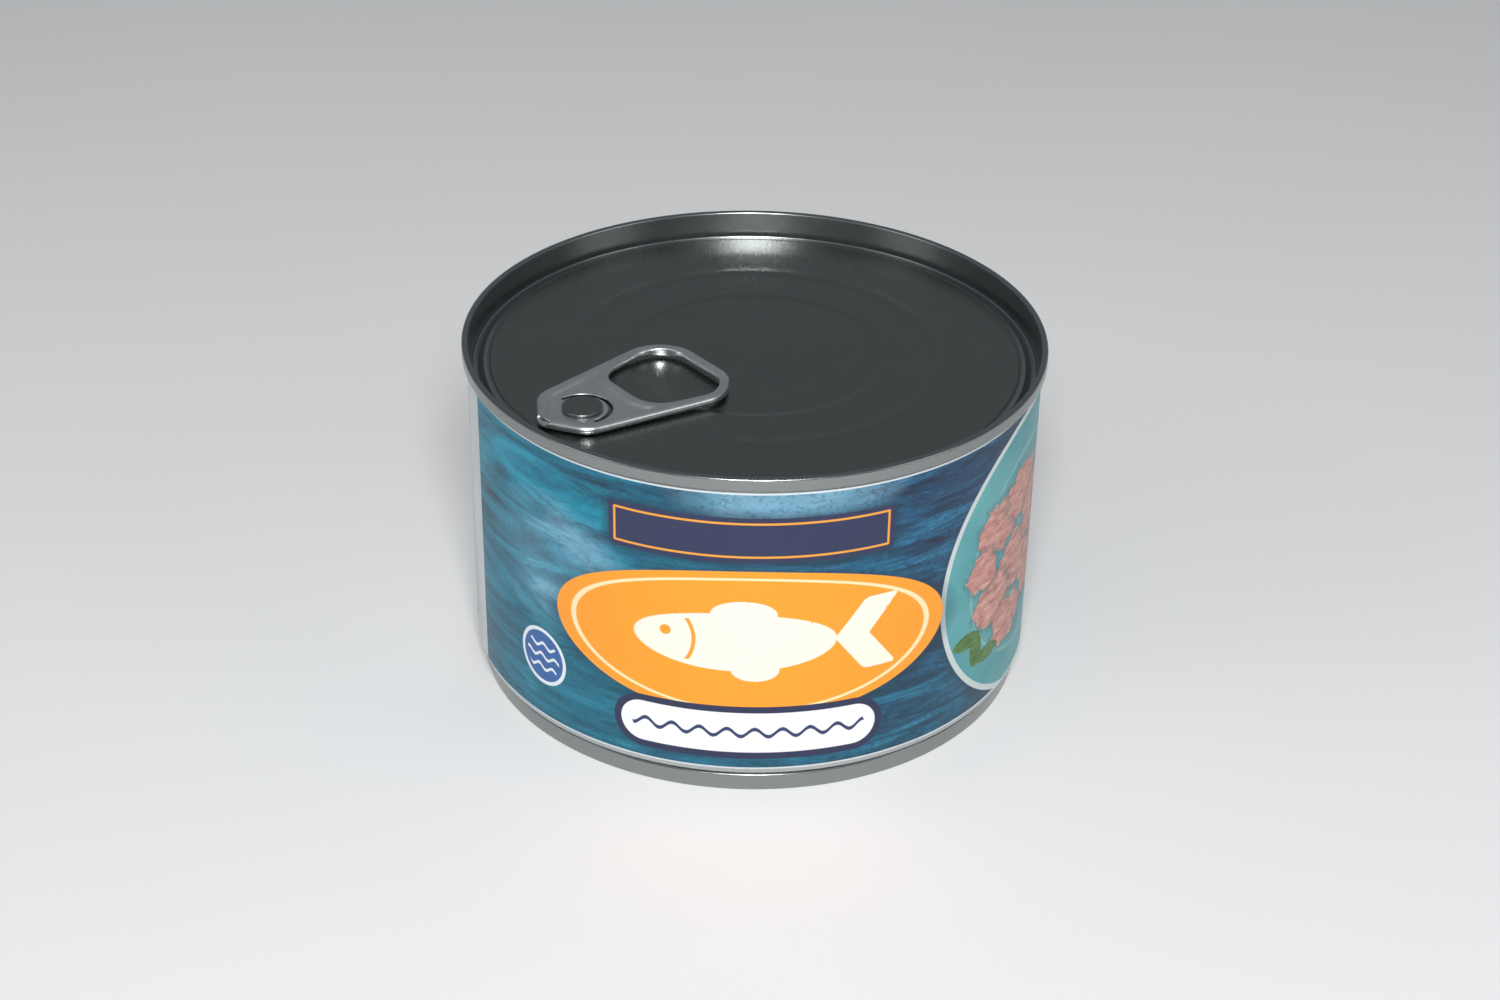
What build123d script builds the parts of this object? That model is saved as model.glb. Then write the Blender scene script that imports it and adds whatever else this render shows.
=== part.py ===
from build123d import *
import os
from math import cos, sin, radians

# Tuna can: a shut, round steel food can with an easy-open end, a ring-pull
# tab and a wrapped paper label.  Millimetres, +Z up, label front towards -Y,
# origin at the bottom centre.  The shut can is solid inside.

# ---- overall -------------------------------------------------------------
HEIGHT = 62.0            # floor to the crest of the top seam
TOP_SEAM_R = 50.7        # outside of the top double seam
BOTTOM_SEAM_R = 48.8     # outside of the bottom double seam, necked in
BODY_R = 49.75           # outside of the steel wall
SHEET = 0.4              # steel of the two ends

# ---- top seam and easy-open end -----------------------------------------
SEAM_LOW = 59.65         # lower edge of the top seam
CREST_IN_R = 49.6        # inside of the seam crest
CHUCK_R = 48.9           # foot of the wall inside the rim
SINK_Z = 57.0            # floor of the countersink groove
SINK_IN_R = 48.0         # inner side of that groove
SHOULDER_R = 47.0        # shoulder where the panel starts
PANEL_Z = 58.0           # panel at its edge
SCORE_R = 46.0           # score line, a shallow groove
SCORE_W = 0.3
SCORE_D = 0.12
STEP_R = 22.3            # inner step ring
STEP_D = 0.35            # the panel inside it is this much lower
STEP_W = 1.0
BEAD_R = 32.0            # C-shaped bead, open at the tab
BEAD_W = 2.6
BEAD_H = 0.3
BEAD_GAP = 84.0          # opening of the bead, degrees

# ---- pull tab, along a radius of the end ---------------------------------
TAB_ANGLE = 219.0        # direction of the nose from the can's axis, degrees
TAIL_U = 10.3            # ring end, measured from the can's axis
NOSE_U = 45.3            # nose, just inside the score
RING_HALF = 11.3         # half width at the ring
TAB_LOW = 58.15
TAB_TOP = 59.95
RIM_ROUND = 0.8          # rounding of the curled rim
RIM_W = 2.0              # width of the curled rim
WEB_LOW = 58.6           # thin web that the rivet holds
WEB_TOP = 59.1
HOLE_TAIL_U = 12.3
HOLE_NOSE_U = 27.8
HOLE_HALF = 9.3
BRIDGE_U = 30.6          # nose side of the bridge between hole and rivet
RIVET_U = 36.7
RIVET_STEM_R = 2.5
RIVET_HEAD_R = 3.45
RIVET_HEAD_H = 0.45
ISLAND_R = 5.4           # raised island of the end under the rivet
SLOT_IN_R = 4.4          # C-shaped slot round the rivet island
SLOT_OUT_R = 5.1
SLOT_HALF = 100.0        # half of the arc of the slot, degrees

# ---- bottom end ----------------------------------------------------------
BOTTOM_SEAM_H = 3.16
NECK_Z = 4.35            # start of the neck-in
NECK_R = 48.25
FOOT_IN_R = 48.0
FOOT_OUT_R = 48.45
BASE_WALL_R = 47.35
BASE_SINK_Z = 4.4
BASE_SHOULDER_R = 45.7
BASE_PANEL_Z = 3.4
BASE_BEAD_R = (38.0, 27.0)
BASE_BEAD_W = 3.0
BASE_BEAD_H = 0.6

# ---- paper label ---------------------------------------------------------
LABEL_T = 0.15
LABEL_LOW = 5.17
LABEL_TOP = 59.0
LAP_ANGLE = -158.5       # edge of the overlap
LAP_ARC = 13.0           # the upper layer lies flat again after this angle


def polar(r, a, z=0.0):
    return (r * cos(radians(a)), r * sin(radians(a)), z)


def lathe(points, rounds=()):
    """Solid of revolution about Z from (radius, z) points; rounds gives
    {point index: corner radius}."""
    with BuildPart() as p:
        with BuildSketch(Plane.XZ) as s:
            with BuildLine():
                Polyline(*points, close=True)
            make_face()
            for i, r in dict(rounds).items():
                x, z = points[i]
                v = s.vertices().sort_by_distance(Vector(x, z, 0))[0]
                fillet(v, r)
        revolve(axis=Axis.Z)
    return p.part


# the end's upper surface, from the rim inwards to the axis
lid_top = [
    (CREST_IN_R, HEIGHT),
    (CHUCK_R, SINK_Z),
    (SINK_IN_R, SINK_Z),
    (SHOULDER_R, PANEL_Z),
    (SCORE_R + SCORE_W / 2, PANEL_Z),
    (SCORE_R + SCORE_W / 6, PANEL_Z - SCORE_D),
    (SCORE_R - SCORE_W / 6, PANEL_Z - SCORE_D),
    (SCORE_R - SCORE_W / 2, PANEL_Z),
    (STEP_R + STEP_W / 2, PANEL_Z),
    (STEP_R - STEP_W / 2, PANEL_Z - STEP_D),
    (0, PANEL_Z - STEP_D),
]
# its underside, from the axis outwards to the seam
lid_under = [
    (0, PANEL_Z - STEP_D - SHEET),
    (STEP_R - STEP_W / 2, PANEL_Z - STEP_D - SHEET),
    (STEP_R + STEP_W / 2, PANEL_Z - SHEET),
    (SHOULDER_R - 0.2, PANEL_Z - SHEET),
    (SINK_IN_R - 0.2, SINK_Z - SHEET),
    (CHUCK_R + 0.3, SINK_Z - SHEET),
    (CREST_IN_R - 0.05, SEAM_LOW),
]
seam = [
    (TOP_SEAM_R - 0.35, SEAM_LOW),
    (TOP_SEAM_R, SEAM_LOW + 0.3),
    (TOP_SEAM_R, HEIGHT),
]
end_points = lid_top + lid_under + seam
easy_open_end = lathe(end_points, {0: 0.45, len(end_points) - 1: 0.6})

# C-shaped bead: a low rounded ridge on the panel, open on the tab's side
with BuildPart() as bead:
    with BuildSketch(Plane.XZ.rotated((0, 0, TAB_ANGLE + BEAD_GAP / 2))):
        with Locations((BEAD_R, PANEL_Z - 0.05)):
            Trapezoid(BEAD_W, BEAD_H + 0.05, 22,
                      align=(Align.CENTER, Align.MIN))
    revolve(axis=Axis.Z, revolution_arc=360 - BEAD_GAP)
easy_open_end = easy_open_end + bead.part

# island, stem and head of the integral rivet
rivet_at = polar(RIVET_U, TAB_ANGLE)


def disc(r, low, high):
    return Pos(rivet_at[0], rivet_at[1], low) * Cylinder(
        r, high - low, align=(Align.CENTER, Align.CENTER, Align.MIN))


island = Pos(rivet_at[0], rivet_at[1], PANEL_Z - 0.05) * Cone(
    ISLAND_R, ISLAND_R - 0.9, WEB_LOW - PANEL_Z + 0.05,
    align=(Align.CENTER, Align.CENTER, Align.MIN))
head = disc(RIVET_HEAD_R, WEB_TOP, WEB_TOP + RIVET_HEAD_H)
head = fillet(head.edges().sort_by(Axis.Z)[-1:], 0.25)
easy_open_end = (easy_open_end + island
                 + disc(RIVET_STEM_R, WEB_LOW - 0.05, WEB_TOP + 0.05) + head)

# ---- bottom end: seam, foot and recessed base ----------------------------
base_under = [(BASE_WALL_R, BASE_SINK_Z), (BASE_SHOULDER_R + 0.7, BASE_SINK_Z),
              (BASE_SHOULDER_R, BASE_PANEL_Z)]
for r in BASE_BEAD_R:
    h = BASE_BEAD_W / 2
    base_under += [(r + h, BASE_PANEL_Z), (r + h / 2, BASE_PANEL_Z + BASE_BEAD_H),
                   (r - h / 2, BASE_PANEL_Z + BASE_BEAD_H), (r - h, BASE_PANEL_Z)]
base_under += [(0, BASE_PANEL_Z)]
base_upper = [(0, BASE_PANEL_Z + BASE_BEAD_H + SHEET),
              (BASE_SHOULDER_R - 1.2, BASE_PANEL_Z + BASE_BEAD_H + SHEET),
              (BASE_SHOULDER_R + 0.4, BASE_SINK_Z + SHEET),
              (BASE_WALL_R + 0.2, BASE_SINK_Z + SHEET),
              (BASE_WALL_R + 0.45, BOTTOM_SEAM_H)]
bottom_points = (
    [(BOTTOM_SEAM_R - 0.25, BOTTOM_SEAM_H), (BOTTOM_SEAM_R, BOTTOM_SEAM_H - 0.3),
     (BOTTOM_SEAM_R, 0.4), (FOOT_OUT_R, 0), (FOOT_IN_R, 0),
     (BASE_WALL_R + 0.3, 0.4)] + base_under + base_upper)
bottom_end = lathe(bottom_points)

# ---- body: steel wall with the contents sealed inside, one solid ---------
body_points = (
    base_upper
    + [(NECK_R, BOTTOM_SEAM_H), (NECK_R + 0.25, BOTTOM_SEAM_H + 0.45),
       (BODY_R - 0.3, NECK_Z - 0.3), (BODY_R, NECK_Z + 0.1), (BODY_R, SEAM_LOW)]
    + lid_under[::-1])
can_body = lathe(body_points)

# ---- paper label, one wrap with an overlap -------------------------------
label_r = BODY_R + LABEL_T
with BuildPart() as wrap:
    with BuildSketch(Plane.XY.offset(LABEL_LOW)):
        Circle(label_r)
        with BuildLine():
            a0, a1 = LAP_ANGLE, LAP_ANGLE + LAP_ARC
            am = (a0 + a1) / 2
            Line(polar(label_r - 0.06, a0), polar(label_r + LABEL_T, a0))
            ThreePointArc(polar(label_r + LABEL_T, a0),
                          polar(label_r + LABEL_T * 0.45, am),
                          polar(label_r - 0.06, a1))
            ThreePointArc(polar(label_r - 0.06, a1),
                          polar(label_r - 0.06, am),
                          polar(label_r - 0.06, a0))
        make_face()
        Circle(BODY_R, mode=Mode.SUBTRACT)
    extrude(amount=LABEL_TOP - LABEL_LOW)
paper_label = wrap.part

# ---- pull tab ------------------------------------------------------------
# Both outlines are hulls of corner circles (u, half distance v, radius).
outline_corners = [
    (TAIL_U + 3.3, 5.2, 3.3),
    (TAIL_U + 7.2, RING_HALF - 6.0, 6.0),
    (NOSE_U - 7.3, 3.2, 4.9),
    (NOSE_U - 3.0, 0.0, 3.0),
]
hole_corners = [
    (HOLE_TAIL_U + 4.2, HOLE_HALF - 4.2, 4.2),
    (HOLE_NOSE_U - 4.8, 3.6, 4.8),
]


def hull_face(corners, inset=0.0):
    """Face inside the tangent lines and arcs that run round the corner
    circles and their mirror images in the tab's own axis."""
    chain = [(u, v, r - inset) for u, v, r in corners]
    mirror = [(u, -v, r) for u, v, r in reversed(chain) if v > 0]
    loop = (chain + mirror)[::-1]            # counter-clockwise
    n = len(loop)
    touch = []                               # tangent line from i to i + 1
    for i in range(n):
        (x0, y0, r0), (x1, y1, r1) = loop[i], loop[(i + 1) % n]
        dx, dy = x1 - x0, y1 - y0
        d = (dx * dx + dy * dy) ** 0.5
        c = (r0 - r1) / d
        k = (1 - c * c) ** 0.5
        nx, ny = (dx * c + dy * k) / d, (dy * c - dx * k) / d
        touch.append(((x0 + r0 * nx, y0 + r0 * ny),
                      (x1 + r1 * nx, y1 + r1 * ny)))
    with BuildSketch() as s:
        with BuildLine():
            for i in range(n):
                cx, cy, r = loop[i]
                a, b = touch[i - 1][1], touch[i][0]
                mx, my = (a[0] + b[0]) / 2 - cx, (a[1] + b[1]) / 2 - cy
                m = (mx * mx + my * my) ** 0.5
                if m > 1e-6:
                    ThreePointArc(a, (cx + mx / m * r, cy + my / m * r), b)
                Line(*touch[i])
        make_face()
    return s.sketch


def hull_plate(corners, low, high, inset=0.0, from_u=None):
    """Plate of that outline, or only its part on the nose side of from_u."""
    plate = Pos(0, 0, low) * extrude(hull_face(corners, inset),
                                     amount=high - low)
    if from_u is not None:
        plate = plate & Pos(from_u, 0, (low + high) / 2) * Box(
            60, 60, high - low, align=(Align.MIN, Align.CENTER, Align.CENTER))
    return plate


tab = hull_plate(outline_corners, TAB_LOW, TAB_TOP)
tab = tab - hull_plate(hole_corners, TAB_LOW - 1, TAB_TOP + 1)
for z in (TAB_LOW, TAB_TOP):
    rims = [e for e in tab.edges()
            if abs(e.center().Z - z) < 1e-6 and abs((e @ 0).Z - z) < 1e-6]
    tab = chamfer(rims, RIM_ROUND * 0.6)
# recess above and below the web
tab = tab - hull_plate(outline_corners, WEB_TOP, TAB_TOP + 1, RIM_W, BRIDGE_U)
tab = tab - hull_plate(outline_corners, TAB_LOW - 1, WEB_LOW, RIM_W, BRIDGE_U)
# hole for the rivet and the C-shaped slot, open towards the nose
slot_h = TAB_TOP - TAB_LOW
tab = tab - Pos(RIVET_U, 0, (TAB_LOW + TAB_TOP) / 2) * Cylinder(
    RIVET_STEM_R + 0.05, slot_h)
with BuildPart() as slot:
    with BuildSketch(Plane.XZ.rotated((0, 0, 180 - SLOT_HALF))):
        with Locations(((SLOT_IN_R + SLOT_OUT_R) / 2, 0)):
            Rectangle(SLOT_OUT_R - SLOT_IN_R, slot_h)
    revolve(axis=Axis.Z, revolution_arc=2 * SLOT_HALF)
tab = tab - Pos(RIVET_U, 0, (TAB_LOW + TAB_TOP) / 2) * slot.part
pull_tab = Rot(0, 0, TAB_ANGLE) * tab

# ---- write ---------------------------------------------------------------
nodes = {
    "can_body": can_body,
    "bottom_end": bottom_end,
    "easy_open_end": easy_open_end,
    "pull_tab": pull_tab,
    "paper_label": paper_label,
}
os.makedirs("parts", exist_ok=True)
for name, shape in nodes.items():
    solids = shape.solids()
    print(name, "solids", len(solids), "volume %.1f" % shape.volume,
          "valid", shape.is_valid)
    export_step(solids[0] if len(solids) == 1 else shape,
                "parts/%s.step" % name)
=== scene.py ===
import bpy
import numpy as np
from math import pi, sin, cos, radians, atan2
from mathutils import Matrix, Vector


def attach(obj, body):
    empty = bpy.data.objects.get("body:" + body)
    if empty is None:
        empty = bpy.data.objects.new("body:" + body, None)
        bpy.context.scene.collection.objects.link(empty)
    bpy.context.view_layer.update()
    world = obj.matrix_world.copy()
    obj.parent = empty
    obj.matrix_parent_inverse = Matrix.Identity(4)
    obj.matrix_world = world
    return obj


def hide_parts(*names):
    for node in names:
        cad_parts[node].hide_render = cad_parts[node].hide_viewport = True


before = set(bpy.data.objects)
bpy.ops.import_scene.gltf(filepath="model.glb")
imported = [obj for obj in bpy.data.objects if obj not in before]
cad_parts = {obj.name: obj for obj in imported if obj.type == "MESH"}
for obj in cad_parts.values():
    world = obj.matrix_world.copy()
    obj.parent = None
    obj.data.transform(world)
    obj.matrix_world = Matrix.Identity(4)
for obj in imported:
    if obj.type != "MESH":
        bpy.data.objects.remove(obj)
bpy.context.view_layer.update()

MM = 0.001

# ------------------------------------------------------------------ sizes, mm
H = 62.0
SEAM_R = 50.7
BODY_R = 49.75
LABEL_R = 49.88
LABEL_LOW, LABEL_TOP = 5.17, 59.0
PANEL_Z = 58.0
TAB_A = 219.0
RIVET_U = 36.7


# ------------------------------------------------------------- mesh utilities
def new_object(name, verts, faces, material, node, smooth=True, uv=None):
    me = bpy.data.meshes.new(name)
    me.from_pydata([], [], [])
    me.clear_geometry()
    me.from_pydata((np.asarray(verts) * MM).tolist(), [], faces)
    me.validate()
    me.update()
    me.calc_loop_triangles()
    tri = np.zeros(len(me.loop_triangles) * 3, np.int32)
    me.loop_triangles.foreach_get("vertices", tri)
    tri = np.asarray(verts, float)[tri.reshape(-1, 3)]
    if np.einsum("ij,ij->i", tri[:, 0], np.cross(tri[:, 1], tri[:, 2])).sum() < 0:
        me.flip_normals()                   # every closed piece faces outwards
    me.polygons.foreach_set("use_smooth", [smooth] * len(me.polygons))
    if uv is not None:
        layer = me.uv_layers.new(name="print")
        idx = np.zeros(len(me.loops), np.int32)
        me.loops.foreach_get("vertex_index", idx)
        layer.data.foreach_set("uv", np.asarray(uv)[idx].astype(np.float32).ravel())
    ob = bpy.data.objects.new(name, me)
    bpy.context.scene.collection.objects.link(ob)
    me.materials.append(material)
    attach(ob, "root")
    if node:
        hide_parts(node)
    return ob


def rounded(points, radii, n=7):
    """Open or closed (r, z) profile with its named corners rounded."""
    out = []
    m = len(points)
    for i, p in enumerate(points):
        r = radii.get(i, 0)
        if not r:
            out.append(p)
            continue
        p = np.array(p, float)
        a = np.array(points[i - 1], float) - p
        b = np.array(points[(i + 1) % m], float) - p
        la, lb = np.linalg.norm(a), np.linalg.norm(b)
        a, b = a / la, b / lb
        ang = np.arccos(np.clip(a @ b, -1, 1))
        t = min(r / np.tan(ang / 2), la * 0.48, lb * 0.48)
        p0, p1 = p + a * t, p + b * t
        for k in range(n + 1):
            s = k / n
            out.append(tuple((1 - s) ** 2 * p0 + 2 * s * (1 - s) * p + s * s * p1))
    return out


def ring_faces(rows, segs, closed_rows):
    f = []
    for i in range(rows if closed_rows else rows - 1):
        a0 = i * segs
        b0 = ((i + 1) % rows) * segs
        for j in range(segs):
            k = (j + 1) % segs
            f.append((a0 + j, b0 + j, b0 + k, a0 + k))
    return f


def capped_lathe(profile, segs, warp=None):
    """Closed surface of revolution whose profile starts and ends on the axis."""
    th = np.linspace(0, 2 * pi, segs, endpoint=False)
    body = [p for p in profile if p[0] > 1e-6]
    r = np.array([p[0] for p in body])[:, None] + 0 * th[None, :]
    z = np.array([p[1] for p in body])[:, None] + 0 * th[None, :]
    if warp is not None:
        r, z = warp(r, z, th[None, :] + 0 * r)
    v = np.stack([r * np.cos(th), r * np.sin(th), z], -1).reshape(-1, 3)
    f = ring_faces(len(body), segs, False)
    n = len(v)
    z0 = z[0].mean()
    z1 = z[-1].mean()
    v = np.vstack([v, [[0, 0, z0], [0, 0, z1]]])
    last = (len(body) - 1) * segs
    for j in range(segs):
        k = (j + 1) % segs
        f.append((j, k, n))
        f.append((last + k, last + j, n + 1))
    return v, f


# ------------------------------------------------------ node material helpers
class X:
    """A number that varies over the surface, as a chain of math nodes."""
    def __init__(self, g, sock):
        self.g, self.s = g, sock

    def op(self, name, *others):
        n = self.g.nodes.new("ShaderNodeMath")
        n.operation = name
        for i, o in enumerate((self,) + others):
            if isinstance(o, X):
                self.g.links.new(o.s, n.inputs[i])
            else:
                n.inputs[i].default_value = float(o)
        return X(self.g, n.outputs[0])

    def __add__(self, o): return self.op("ADD", o)
    def __radd__(self, o): return self.op("ADD", o)
    def __sub__(self, o): return self.op("SUBTRACT", o)
    def __rsub__(self, o): return (self * -1.0) + o
    def __mul__(self, o): return self.op("MULTIPLY", o)
    def __rmul__(self, o): return self.op("MULTIPLY", o)
    def __truediv__(self, o): return self.op("DIVIDE", o)
    def abs(self): return self.op("ABSOLUTE")
    def sin(self): return self.op("SINE")
    def sqrt(self): return self.op("SQRT")
    def max(self, o): return self.op("MAXIMUM", o)
    def min(self, o): return self.op("MINIMUM", o)
    def clamp(self):
        n = self.op("ADD", 0.0)
        n.s.node.use_clamp = True
        return n


def inside(d, soft=0.09):
    """1 where the distance d is negative, with a soft printed edge."""
    return (d * (-1.0 / soft) + 0.5).clamp()


def ellipse(x, y, cx, cy, rx, ry):
    return ((((x - cx) / rx) * ((x - cx) / rx) + ((y - cy) / ry) * ((y - cy) / ry)).sqrt() - 1.0) * min(rx, ry)


def rbox(x, y, cx, cy, hx, hy, r):
    qx = (x - cx).abs() - (hx - r)
    qy = (y - cy).abs() - (hy - r)
    ox, oy = qx.max(0.0), qy.max(0.0)
    return (ox * ox + oy * oy).sqrt() + qx.max(qy).min(0.0) - r


def material(name):
    m = bpy.data.materials.new(name)
    m.use_nodes = True
    g = m.node_tree
    bsdf = g.nodes["Principled BSDF"]
    return m, g, bsdf


def noise(g, vec, scale, detail=4.0, rough=0.55, distortion=0.0):
    n = g.nodes.new("ShaderNodeTexNoise")
    n.inputs["Scale"].default_value = scale
    n.inputs["Detail"].default_value = detail
    n.inputs["Roughness"].default_value = rough
    n.inputs["Distortion"].default_value = distortion
    g.links.new(vec, n.inputs["Vector"])
    return X(g, n.outputs["Fac"])


def ramp(g, x, stops):
    n = g.nodes.new("ShaderNodeValToRGB")
    cr = n.color_ramp
    while len(cr.elements) < len(stops):
        cr.elements.new(0.5)
    for e, (p, c) in zip(cr.elements, stops):
        e.position = p
        e.color = (*c, 1)
    g.links.new(x.s, n.inputs[0])
    return n.outputs[0]


def mix(g, fac, a, b):
    n = g.nodes.new("ShaderNodeMix")
    n.data_type = "RGBA"
    g.links.new(fac.s, n.inputs[0])
    for i, c in ((6, a), (7, b)):
        if isinstance(c, tuple):
            n.inputs[i].default_value = (*c, 1)
        else:
            g.links.new(c, n.inputs[i])
    return n.outputs[2]


def mapped(g, src, scale):
    n = g.nodes.new("ShaderNodeMapping")
    n.inputs["Scale"].default_value = scale
    g.links.new(src, n.inputs["Vector"])
    return n.outputs[0]


def bump(g, bsdf, x, distance, strength=0.5):
    n = g.nodes.new("ShaderNodeBump")
    n.inputs["Strength"].default_value = strength
    n.inputs["Distance"].default_value = distance
    g.links.new(x.s, n.inputs["Height"])
    g.links.new(n.outputs[0], bsdf.inputs["Normal"])


def srgb(r, g, b):
    f = lambda c: (c / 255 / 12.92) if c / 255 <= 0.04045 else ((c / 255 + 0.055) / 1.055) ** 2.4
    return (f(r), f(g), f(b))


def steel(name, base, rough, grain, radial=False, mottled=0.12):
    """Tinplate: rolled grain, faint mottling and fine scuffs."""
    m, g, b = material(name)
    co = g.nodes.new("ShaderNodeTexCoord").outputs["Object"]
    rolled = noise(g, mapped(g, co, (1600, 90, 1600)), 1.0, 5, 0.65)
    cloud = noise(g, mapped(g, co, (120, 120, 120)), 1.0, 4, 0.6)
    speck = noise(g, mapped(g, co, (2600, 2600, 2600)), 1.0, 2, 0.5)
    t = (cloud * 0.6 + rolled * 0.4)
    lo = tuple(c * (1 - mottled) for c in base)
    hi = tuple(min(1, c * (1 + mottled)) for c in base)
    g.links.new(ramp(g, t, [(0.3, lo), (0.7, hi)]), b.inputs["Base Color"])
    r = (rolled - 0.5) * 0.06 + (cloud - 0.5) * 0.06 + rough
    g.links.new(r.clamp().s, b.inputs["Roughness"])
    b.inputs["Metallic"].default_value = 1.0
    bump(g, b, rolled * 0.5 + speck * 0.5, grain, 0.5)
    return m


# ------------------------------------------------------------------ materials
# Painted shade: the end's steel gets a darkened base colour that stands in for the reflection of a dark room; the
# panel is painted darker than the seam of the same sheet.
mat_end_painted_shade = steel("end_steel", (0.215, 0.224, 0.220), 0.27, 0.000001, mottled=0.04)
mat_rim_painted_shade = steel("seam_steel_painted_shade", (0.30, 0.315, 0.315), 0.25, 0.000001, mottled=0.04)
mat_tab = steel("tab_steel", (0.72, 0.74, 0.75), 0.29, 0.000012, mottled=0.10)
mat_body = steel("can_steel", (0.50, 0.52, 0.52), 0.32, 0.000001, mottled=0.05)
# Rivet head painted dark: painted shade for the reflection of a dark room in its flat top.
mat_rivet_painted_shade = steel("rivet_steel_painted_shade", (0.22, 0.225, 0.22), 0.38, 0.00001)


def label_material():
    m, g, b = material("label_print")
    uvn = g.nodes.new("ShaderNodeUVMap")
    uvn.uv_map = "print"
    sep = g.nodes.new("ShaderNodeSeparateXYZ")
    g.links.new(uvn.outputs[0], sep.inputs[0])
    # x: millimetres round the can from the middle of the front; y: height in mm
    x = X(g, sep.outputs[0]) * 100.0
    y = X(g, sep.outputs[1]) * 100.0
    vec = g.nodes.new("ShaderNodeCombineXYZ")
    g.links.new(x.s, vec.inputs[0])
    g.links.new(y.s, vec.inputs[1])
    p = vec.outputs[0]
    # --- sea: slanted swell, fine streaks and foam
    slant = g.nodes.new("ShaderNodeMapping")
    slant.inputs["Rotation"].default_value = (0, 0, radians(-28))
    slant.inputs["Scale"].default_value = (0.028, 0.16, 1)
    g.links.new(p, slant.inputs["Vector"])
    swell = noise(g, slant.outputs[0], 1.0, 9, 0.68, 1.4)
    slant2 = g.nodes.new("ShaderNodeMapping")
    slant2.inputs["Rotation"].default_value = (0, 0, radians(34))
    slant2.inputs["Scale"].default_value = (0.05, 0.42, 1)
    g.links.new(p, slant2.inputs["Vector"])
    streak = noise(g, slant2.outputs[0], 1.0, 8, 0.7, 0.8)
    cloud = noise(g, mapped(g, p, (0.045, 0.06, 1)), 1.0, 5, 0.55, 0.6)
    east = (x * (1 / 90.0) + 0.52).clamp()          # deeper blue towards +x
    low = (y * (-1 / 60.0) + 1.0).clamp()
    sea_w = ramp(g, swell, [(0.32, srgb(10, 52, 70)), (0.45, srgb(12, 100, 124)),
                            (0.56, srgb(10, 136, 162)), (0.74, srgb(40, 168, 190))])
    sea_e = ramp(g, streak, [(0.34, srgb(14, 30, 52)), (0.47, srgb(24, 62, 94)),
                             (0.58, srgb(30, 98, 134)), (0.74, srgb(70, 144, 172))])
    sea = mix(g, (east * 1.3 + (cloud - 0.5) * 0.8 - 0.12).clamp(), sea_w, sea_e)
    deep = ramp(g, streak, [(0.32, srgb(12, 46, 62)), (0.55, srgb(22, 98, 122)), (0.72, srgb(60, 150, 172))])
    sea = mix(g, (low * 1.1 - 0.45 + (swell - 0.5) * 1.2).clamp(), sea, deep)
    # foam and light breaking through, upper left and top middle
    foam = ((cloud * 0.7 + swell * 0.5) - 0.60) * 7.0
    patch = (1.0 - ellipse(x, y, -36, 37, 12, 10) * 0.12 - 0.45).clamp()
    patch2 = (0.5 - ellipse(x, y, 6, 60, 15, 7) * 0.16).clamp()
    sea = mix(g, ((foam * 0.55 + 0.10).clamp() * (patch + patch2).clamp() * 0.8).clamp(), sea, srgb(170, 208, 232))
    sea = mix(g, (patch2 * 0.5 + patch * (cloud - 0.25)).clamp(), sea, srgb(150, 200, 226))
    rough_sea = noise(g, mapped(g, p, (0.55, 0.9, 1)), 1.0, 8, 0.75, 1.2)
    sea = mix(g, ((rough_sea - 0.50) * 7.0 * (east * 0.9 + 0.30)).clamp() * 0.7, sea, srgb(12, 38, 58))
    col = sea

    def put(d, c, soft=0.09, strength=1.0):
        nonlocal col
        f = inside(d, soft)
        if strength != 1.0:
            f = f * strength
        col = mix(g, f, col, c)

    # --- dish of fish on the right, seen from above
    cx, cy = 62.0, 31.0
    wob = (noise(g, mapped(g, p, (0.35, 0.35, 1)), 1.0, 4, 0.6) - 0.5)
    put(ellipse(x, y, cx + 0.8, cy - 1.0, 28.6, 28.6), srgb(16, 50, 72), 3.5, 0.7)
    put(ellipse(x, y, cx, cy, 27.5, 27.5), srgb(198, 208, 208))
    put(ellipse(x, y, cx, cy, 26.4, 26.4), ramp(g, cloud, [(0.3, srgb(64, 142, 150)), (0.7, srgb(104, 172, 176))]))
    put(ellipse(x, y, cx, cy, 20.0, 20.0).abs() - 0.25, srgb(142, 192, 194), 0.5, 0.7)
    meat_n = noise(g, mapped(g, p, (0.30, 0.85, 1)), 1.0, 6, 0.65, 0.5)
    meat = ramp(g, meat_n, [(0.30, srgb(140, 86, 80)), (0.45, srgb(186, 128, 118)),
                            (0.60, srgb(206, 156, 144)), (0.74, srgb(226, 190, 178))])
    for k, (mx, my, rx, ry) in enumerate([(50, 40, 6.4, 5.2), (57.5, 30, 7.4, 5.8), (49, 25.5, 5.6, 5.0),
                                          (60, 43, 7.2, 5.0), (56, 18.5, 6.6, 4.6), (68, 36, 7.5, 6.0),
                                          (68, 24, 7.0, 6.0), (45.5, 33, 4.2, 3.8), (76, 30, 6.0, 6.5)]):
        d = ellipse(x, y, mx, my, rx, ry) + wob * 6.5
        put(d - 0.7, srgb(58, 96, 98), 1.6, 0.6)
        put(d, meat)
    for (lx, ly, rx, ry) in [(41.8, 20.6, 3.6, 1.6), (44.5, 17.6, 1.7, 3.4), (48.0, 15.4, 3.8, 1.5)]:
        d = ellipse(x, y, lx, ly, rx, ry) + wob * 0.8
        put(d, ramp(g, meat_n, [(0.3, srgb(48, 88, 44)), (0.7, srgb(98, 138, 66))]))

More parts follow.
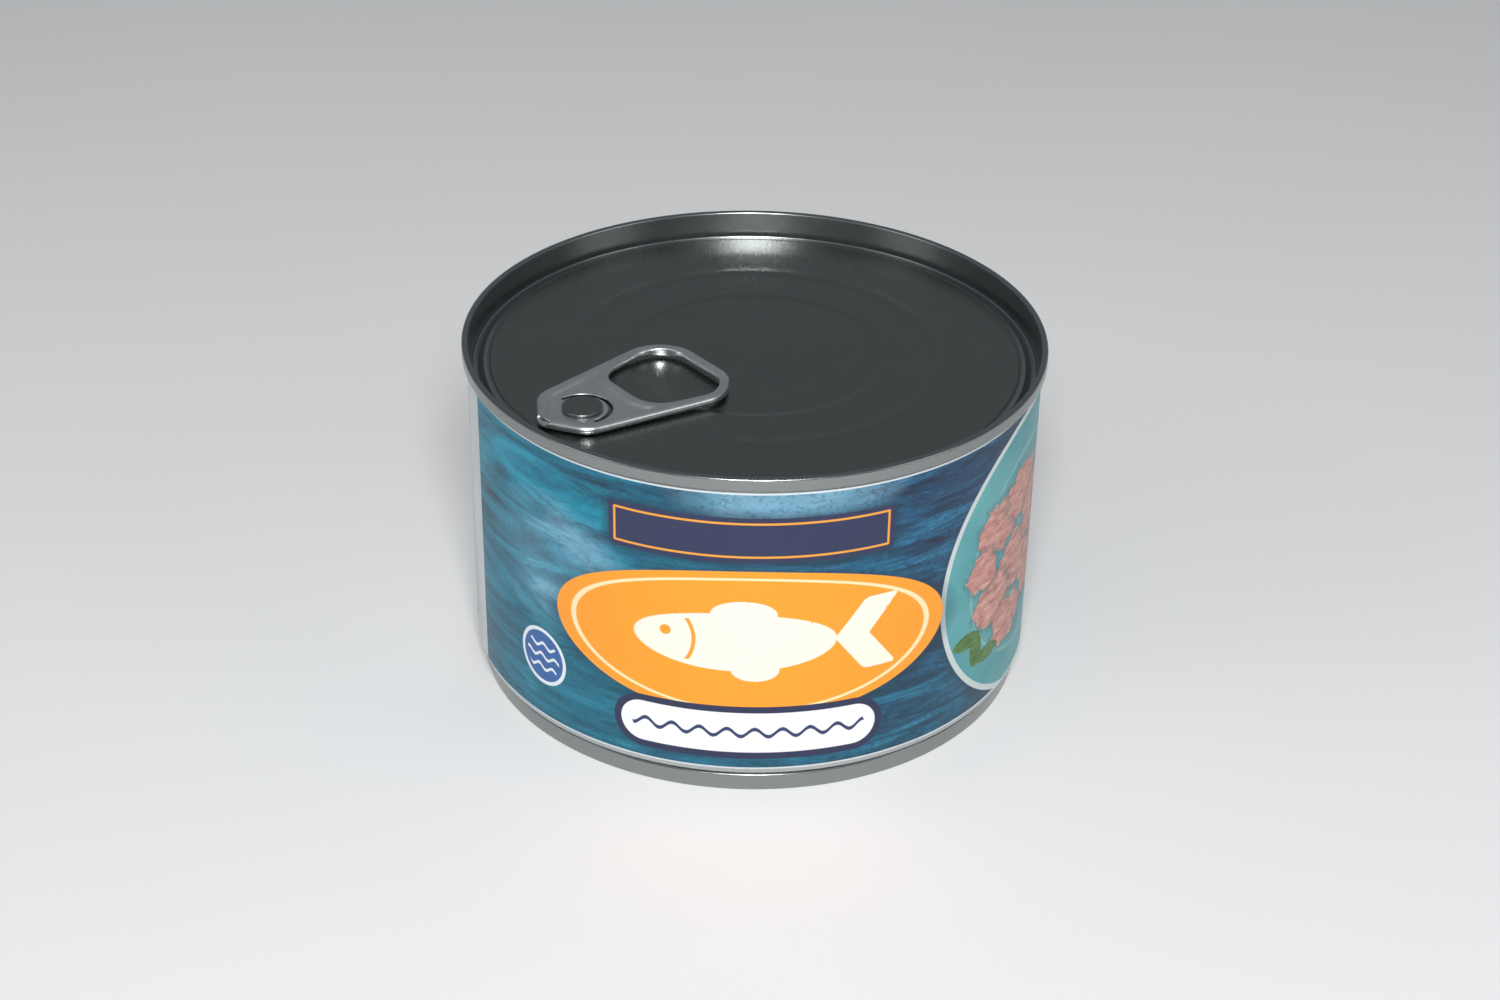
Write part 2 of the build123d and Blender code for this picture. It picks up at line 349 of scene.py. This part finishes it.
    # --- orange field with a pale keyline, behind a plain fish
    put(ellipse(x, y, 0.3, 29.4, 35.5, 15.2), srgb(16, 46, 66), 3.0, 0.75)
    oval = ellipse(x, y, 0.0, 30.0, 35.0, 14.4)
    put(oval, srgb(249, 156, 40))
    put((oval + 1.5).abs() - 0.22, srgb(250, 226, 178))
    cream = srgb(246, 238, 220)
    fishy = ellipse(x, y, -2.5, 30.6, 17.0, 5.6)
    tail = rbox(x - (y - 30.6).abs() * 0.75, y, 17.2, 30.6, 3.0, 7.0, 0.8)
    fish = fishy.min(tail).min(ellipse(x, y, -1.0, 36.0, 5.5, 2.6)).min(ellipse(x, y, 1.0, 25.2, 4.0, 2.2))
    fish = fish.max(0 - ellipse(x, y, -14.0, 31.8, 0.95, 0.95))
    fish = fish.max(0 - (ellipse(x, y, -18.2, 30.6, 9.0, 8.0).abs() - 0.3).max((y - 30.6).abs() - 4.0))
    worn = noise(g, mapped(g, p, (1.1, 1.1, 1)), 1.0, 5, 0.7)
    put(fish + (worn - 0.62).max(0.0) * 9.0, cream, 0.14)

    # --- plain navy band above, with two fine orange lines
    band = rbox(x, y, 0.0, 50.2, 24.0, 4.2, 1.2)
    put(band - 0.8, srgb(16, 42, 62), 1.8, 0.6)
    put(band, srgb(44, 50, 82))
    put((band + 1.1).abs() - 0.2, srgb(236, 158, 60))
    # --- white bar below, navy outline, one row of small waves
    bar = rbox(x, y, 0.0, 12.6, 22.0, 4.0, 4.0)
    put(bar - 1.3, srgb(40, 46, 78))
    put(bar, srgb(238, 240, 242))
    wave = ((x * 1.35).sin() * 0.75 + 12.6 - y).abs() - 0.38
    put(wave.max(bar + 2.0), srgb(44, 58, 100))
    # --- small round badge, left
    badge = ellipse(x, y, -39.0, 17.5, 5.6, 5.6)
    put(badge, srgb(226, 232, 238))
    put(badge + 0.7, srgb(52, 98, 160))
    for k in range(3):
        w = ((x * 1.9 + k * 1.1).sin() * 0.45 + (19.7 - k * 2.2) - y).abs() - 0.3
        put(w.max(badge + 1.6), srgb(226, 232, 238))

    # --- plain pale panel on the far side of the overlap, with empty ruled boxes
    pale_n = noise(g, mapped(g, p, (0.08, 0.05, 1)), 1.0, 4, 0.5)
    pale = ramp(g, pale_n, [(0.3, srgb(196, 202, 204)), (0.7, srgb(222, 226, 226))])
    col = mix(g, inside(x + 59.6, 0.06), col, pale)
    col = mix(g, inside((x * -1.0) + 150.0, 0.06), col, pale)
    for (bx, by, hx, hy) in [(177, 38, 20, 15), (177, 14, 20, 5), (226, 31, 19, 22)]:
        col = mix(g, inside(rbox(x, y, bx, by, hx, hy, 1.0).abs() - 0.16), col, srgb(60, 74, 110))
    for k in range(6):
        d = rbox(x, y, 226, 47.6 - 6.2 * k, 17.5, 0.09, 0.05)
        col = mix(g, inside(d), col, srgb(110, 124, 150))
    # --- raw white paper at both cut edges
    edge = inside(0 - ((y - (LABEL_LOW + LABEL_TOP) / 2).abs() - ((LABEL_TOP - LABEL_LOW) / 2 - 0.32)), 0.1)
    col = mix(g, edge * 0.85, col, srgb(226, 230, 232))
    # printed dots and paper fibre, very faint
    fibre = noise(g, mapped(g, p, (2.2, 2.2, 1)), 1.0, 3, 0.6)
    shade = g.nodes.new("ShaderNodeHueSaturation")
    g.links.new(col, shade.inputs["Color"])
    g.links.new(((fibre - 0.5) * 0.12 + 1.0).s, shade.inputs["Value"])
    g.links.new(shade.outputs[0], b.inputs["Base Color"])
    g.links.new(((fibre - 0.5) * 0.1 + 0.42).s, b.inputs["Roughness"])
    b.inputs["Specular IOR Level"].default_value = 0.35
    b.inputs["Coat Weight"].default_value = 0.12
    b.inputs["Coat Roughness"].default_value = 0.3
    bump(g, b, fibre, 0.00004, 0.35)
    return m


mat_label = label_material()

# ----------------------------------------------------------------------- body
SEGS = 360
under = [(0, 57.25), (21.8, 57.25), (22.8, 57.6), (46.8, 57.6), (47.8, 56.6),
         (49.2, 56.6), (49.55, 59.65)]
body_prof = ([(0, 4.4), (44.5, 4.4), (46.1, 4.8), (47.55, 4.8), (47.8, 3.16)]
             + rounded([(48.25, 3.16), (48.3, 3.75), (BODY_R - 0.15, 4.15), (BODY_R, 4.7),
                        (BODY_R, 59.65)], {1: 0.3, 2: 0.45, 3: 0.3})
             + under[::-1])
v, f = capped_lathe(body_prof, SEGS)
new_object("can_wall", v, f, mat_body, "can_body")

# ----------------------------------------------------------------- bottom end
base = [(0, 3.4)]
for r in np.linspace(1.5, 45.2, 60):
    z = 3.4
    for rb in (38.0, 27.0):
        z += 0.6 * 0.5 * (1 + cos(pi * min(1, abs(r - rb) / 1.7)))
    base.append((r, z))
base += [(45.7, 3.45), (46.3, 4.3), (47.0, 4.4), (47.35, 4.1)]
outer = rounded([(47.45, 3.2), (47.65, 0.0), (48.2, 0.0), (48.8, 0.0), (48.8, 3.16), (48.05, 3.16)],
                {1: 0.4, 3: 0.5, 4: 0.4})
top_side = [(47.8, 3.16), (47.55, 4.8), (46.1, 4.8), (44.5, 4.4), (0, 4.4)]
v, f = capped_lathe(base + outer + top_side, SEGS)
new_object("bottom_seam", v, f, mat_rim_painted_shade, "bottom_end")

# ------------------------------------------------------------ easy-open end
ta = radians(TAB_A)


def lid_warp(r, z, th):
    """Score line detour at the nose, step, bead, island, finger well, sag."""
    top = np.zeros_like(z, bool)
    top[:n_top] = True
    da = np.angle(np.exp(1j * (th - ta)))
    near = np.exp(-(da / 0.16) ** 2)
    pull = np.exp(-((r - 46.0) / 0.9) ** 2)
    r = np.where(top, r - 0.55 * near * pull * np.exp(-((da + 0.19) / 0.13) ** 2) * 2.0, r)
    u = r * np.cos(th - ta)
    w = r * np.sin(th - ta)
    panel = top & (r < 46.9)
    dz = np.zeros_like(z)
    s = np.clip((22.8 - r) / 1.1, 0, 1)
    dz -= 0.17 * s * s * (3 - 2 * s)
    fade = np.clip((np.abs(da) - 0.70) / 0.12, 0, 1)
    dz += 0.13 * fade * np.exp(-((r - 32.0) / 1.1) ** 2)
    dz += 0.025 * np.exp(-((r - 39.5) / 1.5) ** 2)
    isl = np.clip((6.1 - np.hypot(u - RIVET_U, w)) / 1.4, 0, 1)
    dz += 0.58 * isl * isl * (3 - 2 * isl)
    well = np.clip((1.0 - np.hypot((u - 14.5) / 7.6, w / 8.0)) / 0.28, 0, 1)
    dz -= 0.08 * well * well * (3 - 2 * well)
    crease = np.exp(-((u - 21.5) / 0.35) ** 2) * np.clip((8.5 - np.abs(w)) / 3, 0, 1)
    dz += 0.04 * crease
    z = np.where(panel, np.maximum(z + dz, 57.66), z)
    return r, z


rim = rounded([(50.35, 59.65), (50.7, 59.75), (50.7, 62.0), (49.6, 62.0), (48.95, 57.0),
               (47.95, 57.0), (47.1, 58.0), (46.6, 58.0)],
              {1: 0.2, 2: 0.62, 3: 0.5, 4: 0.5, 5: 0.35, 6: 0.4}, 8)
panel_r = list(np.linspace(46.5, 46.2, 5)) + list(np.linspace(46.18, 45.82, 13)) \
    + list(np.linspace(45.7, 0.35, 120))


def panel_z(r):
    g = max(0.0, 1 - abs(r - 46.0) / 0.15)
    return PANEL_Z - 0.13 * g - 0.06 * (1 - (r / 46.0) ** 2)


top_prof = rim + [(r, panel_z(r)) for r in panel_r]
n_top = len(top_prof)
prof = under[1:][:-1] + [(49.55, 59.65)]
full = top_prof[::-1]
# the profile runs from the axis, over the top and rim, back along the underside
n_panel = len(full)


def warp_full(r, z, th):
    global n_top
    n_top = n_panel
    return lid_warp(r, z, th)


v, f = capped_lathe(full + [(49.55, 59.65)] + under[:-1][::-1], 420, warp_full)
lid = new_object("opening_end", v, f, mat_end_painted_shade, "easy_open_end")
lid.data.materials.append(mat_rim_painted_shade)
# The outer ring of the same sheet takes the seam steel, painted less dark than the panel.
for poly in lid.data.polygons:
    c = poly.center
    if (c.x ** 2 + c.y ** 2) ** 0.5 > 0.0464:
        poly.material_index = 1

# rivet head, part of the end
head = [(0.0, 59.50), (2.2, 59.50), (2.6, 59.52)] + rounded(
    [(2.9, 59.55), (3.45, 59.55), (3.45, 59.1), (2.5, 59.1)], {1: 0.22}, 6) + [(2.5, 58.3), (0, 58.3)]
v, f = capped_lathe(head, 72)
v = v + np.array([RIVET_U * cos(ta), RIVET_U * sin(ta), 0])
new_object("rivet", v, f, mat_rivet_painted_shade, None)

# -------------------------------------------------------------------- pull tab
def hull_points(corners, n=24):
    """Points on the outline round the mirrored corner circles."""
    pts = []
    for u, w, r in corners:
        for s in ((1, -1) if w else (1,)):
            a = np.linspace(0, 2 * pi, n * 4, endpoint=False)
            pts.append(np.stack([u + r * np.cos(a), s * w + r * np.sin(a)], -1))
    pts = np.vstack(pts)
    pts = pts[np.lexsort((pts[:, 1], pts[:, 0]))]

    def half(seq):
        h = []
        for q in seq:
            while len(h) > 1 and (h[-1][0] - h[-2][0]) * (q[1] - h[-2][1]) \
                    - (h[-1][1] - h[-2][1]) * (q[0] - h[-2][0]) <= 0:
                h.pop()
            h.append(tuple(q))
        return h[:-1]
    return np.array(half(pts) + half(pts[::-1]))


def poly_sdf(px, py, poly):
    """Signed distance to a closed convex polygon, negative inside."""
    best = np.full(px.shape, 1e9)
    inside_all = np.ones(px.shape, bool)
    for i in range(len(poly)):
        ax, ay = poly[i]
        bx, by = poly[(i + 1) % len(poly)]
        ex, ey = bx - ax, by - ay
        t = np.clip(((px - ax) * ex + (py - ay) * ey) / (ex * ex + ey * ey), 0, 1)
        best = np.minimum(best, np.hypot(px - ax - t * ex, py - ay - t * ey))
        inside_all &= (ex * (py - ay) - ey * (px - ax)) >= 0
    return np.where(inside_all, -best, best)


def surface_nets(F, origin, h):
    """Closed quad mesh of F = 0 on a regular grid."""
    nx, ny, nz = F.shape
    ins = F < 0
    acc = np.zeros((nx - 1, ny - 1, nz - 1, 3))
    cnt = np.zeros((nx - 1, ny - 1, nz - 1))
    corner = [(i, j, k) for i in (0, 1) for j in (0, 1) for k in (0, 1)]
    sl = lambda o, n: slice(o, n - 1 + o)
    for a in range(8):
        for b_ in range(a + 1, 8):
            A, B = corner[a], corner[b_]
            if sum(abs(p - q) for p, q in zip(A, B)) != 1:
                continue
            fa = F[sl(A[0], nx), sl(A[1], ny), sl(A[2], nz)]
            fb = F[sl(B[0], nx), sl(B[1], ny), sl(B[2], nz)]
            cross = (fa < 0) != (fb < 0)
            t = np.where(cross, fa / np.where(cross, fa - fb, 1), 0)
            for d in range(3):
                acc[..., d] += np.where(cross, A[d] + t * (B[d] - A[d]), 0)
            cnt += cross
    active = cnt > 0
    idx = -np.ones(active.shape, np.int64)
    idx[active] = np.arange(active.sum())
    cells = np.argwhere(active)
    verts = (cells + acc[active] / cnt[active][:, None]) * h + np.array(origin)
    faces = []
    for d in range(3):
        o = [(0, 0, 0)] * 4
        e1, e2 = [k for k in range(3) if k != d]
        lo = [slice(0, n) for n in F.shape]
        hi = [slice(0, n) for n in F.shape]
        lo[d], hi[d] = slice(0, F.shape[d] - 1), slice(1, F.shape[d])
        a, b_ = ins[tuple(lo)], ins[tuple(hi)]
        for flip in (False, True):
            m = (a & ~b_) if not flip else (~a & b_)
            q = np.argwhere(m)
            q = q[(q[:, e1] > 0) & (q[:, e2] > 0) & (q[:, e1] < F.shape[e1] - 1) & (q[:, e2] < F.shape[e2] - 1)]
            quad = []
            for s1, s2 in ((1, 1), (0, 1), (0, 0), (1, 0)):
                c = q.copy()
                c[:, e1] -= s1
                c[:, e2] -= s2
                quad.append(idx[c[:, 0], c[:, 1], c[:, 2]])
            quad = np.stack(quad, -1)
            if flip != (d == 1):
                quad = quad[:, ::-1]
            faces.append(quad)
    return verts, np.vstack(faces)


outline = hull_points([(15.0, 4.4, 4.7), (17.9, 4.6, 6.7), (38.0, 3.2, 4.9), (42.3, 0.0, 3.0)])
hole = hull_points([(17.6, 4.0, 5.3), (22.6, 3.0, 5.2)])
STEP = 0.19
gu = np.arange(9.6, 46.1, STEP)
gw = np.arange(-12.1, 12.2, STEP)
gz = np.arange(57.9, 60.3, STEP * 0.75)
U2, W2 = np.meshgrid(gu, gw, indexing="ij")
d_out = poly_sdf(U2, W2, outline)
d_hole = poly_sdf(U2, W2, hole)


def blurred(d, n=10):
    """Distance field with its inner creases smoothed, unchanged near 0."""
    q = d.copy()
    for _ in range(n):
        e = np.pad(q, 1, mode="edge")
        q = (e[:-2, 1:-1] + e[2:, 1:-1] + e[1:-1, :-2] + e[1:-1, 2:] + 4 * q) / 8
    t = np.clip((np.abs(d) - 0.9) / 1.2, 0, 1)
    return d * (1 - t) + q * t


d_soft = blurred(d_out)
h_soft = blurred(d_hole)
zc = 59.05


def smooth01(t):
    t = np.clip(t, 0, 1)
    return t * t * (3 - 2 * t)


# dish round the rivet: rims and bridge slope down to the web
slope = np.maximum(smooth01(1 - (-d_soft - 1.1) / 1.45), smooth01(1 - (h_soft - 1.2) / 1.5))
z_top = 58.98 + 0.88 * slope
for s in (1, -1):
    z_top += 0.24 * np.exp(-(((U2 - 30.6) / 1.5) ** 2 + ((W2 - s * 7.2) / 1.5) ** 2))
z_top = np.minimum(z_top, 59.93)
F = np.zeros(U2.shape + gz.shape)
nose = smooth01((U2 - 43.4) / 0.8) * smooth01((1.7 - np.abs(W2)) / 0.6)
rr = np.hypot(U2 - RIVET_U, W2)
ang = np.abs(np.arctan2(W2, -(U2 - RIVET_U)))
slot = np.maximum(np.abs(rr - 4.75) - 0.35, (ang - radians(100)) * 4.75)
for k, z in enumerate(gz):
    a_out = np.sqrt(((d_out + 0.98) / 0.98) ** 2 + ((z - zc + 0.30 * nose) / (0.88 - 0.42 * nose)) ** 2) - 1
    a_hole = np.sqrt(((d_hole - 0.98) / 0.98) ** 2 + ((z - zc) / 0.88) ** 2) - 1
    slab = np.maximum(np.maximum(z - z_top, 58.6 - z), np.maximum(d_out + 0.7, 0.7 - d_hole))
    a = np.minimum(a_out, a_hole) * 0.88
    # smooth union of tubes and slab
    kk = 0.22
    hh = np.clip(0.5 + 0.5 * (slab - a) / kk, 0, 1)
    d = slab * (1 - hh) + a * hh - kk * hh * (1 - hh)
    d = np.maximum(d, -slot)
    d = np.maximum(d, 2.55 - rr)
    d = np.maximum(d, np.maximum(d_out, -d_hole))
    F[..., k] = d
n_ = np.zeros(3)
origin = (gu[0], gw[0], 0)
verts, quads = surface_nets(F, (0, 0, 0), 1.0)
verts = np.stack([gu[0] + verts[:, 0] * STEP, gw[0] + verts[:, 1] * STEP,
                  gz[0] + verts[:, 2] * STEP * 0.75], -1)
rot = np.array([[cos(ta), -sin(ta), 0], [sin(ta), cos(ta), 0], [0, 0, 1]])
tab = new_object("ring_pull", verts @ rot.T, quads.tolist(), mat_tab, "pull_tab")
sm = tab.modifiers.new("soften", "SMOOTH")
sm.factor = 0.5
sm.iterations = 4

# ---------------------------------------------------------------- paper label
cols, rows = 900, 40
lap = radians(-158.5)
th = lap + np.linspace(0.0004, 2 * pi - 0.0004, cols + 1)
zz = np.concatenate([[LABEL_LOW], np.linspace(LABEL_LOW + 0.1, LABEL_TOP - 0.1, rows - 2), [LABEL_TOP]])
TH, ZZ = np.meshgrid(th, zz, indexing="ij")
from_lap = TH - lap
lift = 0.13 * np.clip(1 - from_lap / radians(13), 0, 1)
ripple = 0.012 * np.sin(TH * 23 + 1.3 * np.sin(ZZ * 0.11)) * np.sin(ZZ * 0.21 + TH * 3)
RO = LABEL_R + lift + ripple
RI = np.full_like(RO, BODY_R + 0.012)
outer_v = np.stack([RO * np.cos(TH), RO * np.sin(TH), ZZ], -1).reshape(-1, 3)
inner_v = np.stack([RI * np.cos(TH), RI * np.sin(TH), ZZ], -1).reshape(-1, 3)
nv = len(outer_v)
# arc position in millimetres from the middle of the front
arc = (TH + pi / 2) * LABEL_R
uv = np.stack([arc, ZZ], -1).reshape(-1, 2) / 100.0
faces = []
for i in range(cols):
    for j in range(rows - 1):
        a = i * rows + j
        faces.append((a, a + rows, a + rows + 1, a + 1))
        faces.append((nv + a, nv + a + 1, nv + a + rows + 1, nv + a + rows))
    a = i * rows
    faces.append((a, nv + a, nv + a + rows, a + rows))
    a += rows - 1
    faces.append((a, a + rows, nv + a + rows, nv + a))
for j in range(rows - 1):
    faces.append((j, j + 1, nv + j + 1, nv + j))
    a = cols * rows + j
    faces.append((a, nv + a, nv + a + 1, a + 1))
new_object("label_wrap", np.vstack([outer_v, inner_v]), faces, mat_label, "paper_label",
           uv=np.vstack([uv, uv]))

# ------------------------------------------------------------- floor, lights
fm, fg, fb = material("floor_plain")
fco = fg.nodes.new("ShaderNodeTexCoord").outputs["Object"]
fn = noise(fg, mapped(fg, fco, (9, 9, 9)), 1.0, 3, 0.5)
fg.links.new(ramp(fg, fn, [(0.3, (0.93, 0.93, 0.93)), (0.7, (0.95, 0.95, 0.95))]), fb.inputs["Base Color"])
fb.inputs["Roughness"].default_value = 0.9
me = bpy.data.meshes.new("floor")
s = 1.6
me.from_pydata([(-s, -s, 0), (s, -s, 0), (s, s, 0), (-s, s, 0)], [], [(0, 1, 2, 3)])
floor = bpy.data.objects.new("floor", me)
me.materials.append(fm)
bpy.context.scene.collection.objects.link(floor)


def area(name, loc, target, size, power, size_y=None):
    l = bpy.data.lights.new(name, "AREA")
    l.energy = power
    l.size = size
    if size_y:
        l.shape = "RECTANGLE"
        l.size_y = size_y
    o = bpy.data.objects.new(name, l)
    o.location = loc
    d = Vector(target) - Vector(loc)
    o.rotation_euler = d.to_track_quat("-Z", "Y").to_euler()
    bpy.context.scene.collection.objects.link(o)
    return o


area("key", (0.02, -0.72, 0.62), (0, 0, 0.03), 0.26, 7.1)
area("left", (-0.95, -0.45, 0.55), (0, 0, 0.03), 0.5, 1.1)
area("right", (0.95, -0.45, 0.55), (0, 0, 0.03), 0.5, 1.1)

world = bpy.data.worlds.new("soft_room")
bpy.context.scene.world = world
world.use_nodes = True
world.node_tree.nodes["Background"].inputs[0].default_value = (0.9, 0.95, 1.0, 1)
world.node_tree.nodes["Background"].inputs[1].default_value = 0.22

# --------------------------------------------------------------------- camera
el, roll = radians(30.853), radians(1.07)
D, fpx = 470.084 * 0.994, 2604.338
cx, cy, ppx, ppy = 752.424, 485.808, 750.239, 499.951
back = Vector((0, -cos(el), sin(el)))
right, up = Vector((1, 0, 0)), Vector((0, sin(el), cos(el)))
r2 = right * cos(roll) + up * sin(roll)
u2 = up * cos(roll) - right * sin(roll)
x0 = (cx - ppx) / fpx * D
y0 = -(cy - ppy) / fpx * D
loc = (Vector((0, 0, H / 2)) + back * D - r2 * x0 - u2 * y0) * MM
cam = bpy.data.cameras.new("camera")
cam.sensor_width = 36.0
cam.lens = fpx / 1500 * 36.0
cam.clip_start = 0.01
co = bpy.data.objects.new("camera", cam)
mw = Matrix((r2, u2, back)).transposed().to_4x4()
mw.translation = loc
co.matrix_world = mw
bpy.context.scene.collection.objects.link(co)
bpy.context.scene.camera = co
bpy.context.scene.view_settings.view_transform = "Standard"

bpy.context.view_layer.update()
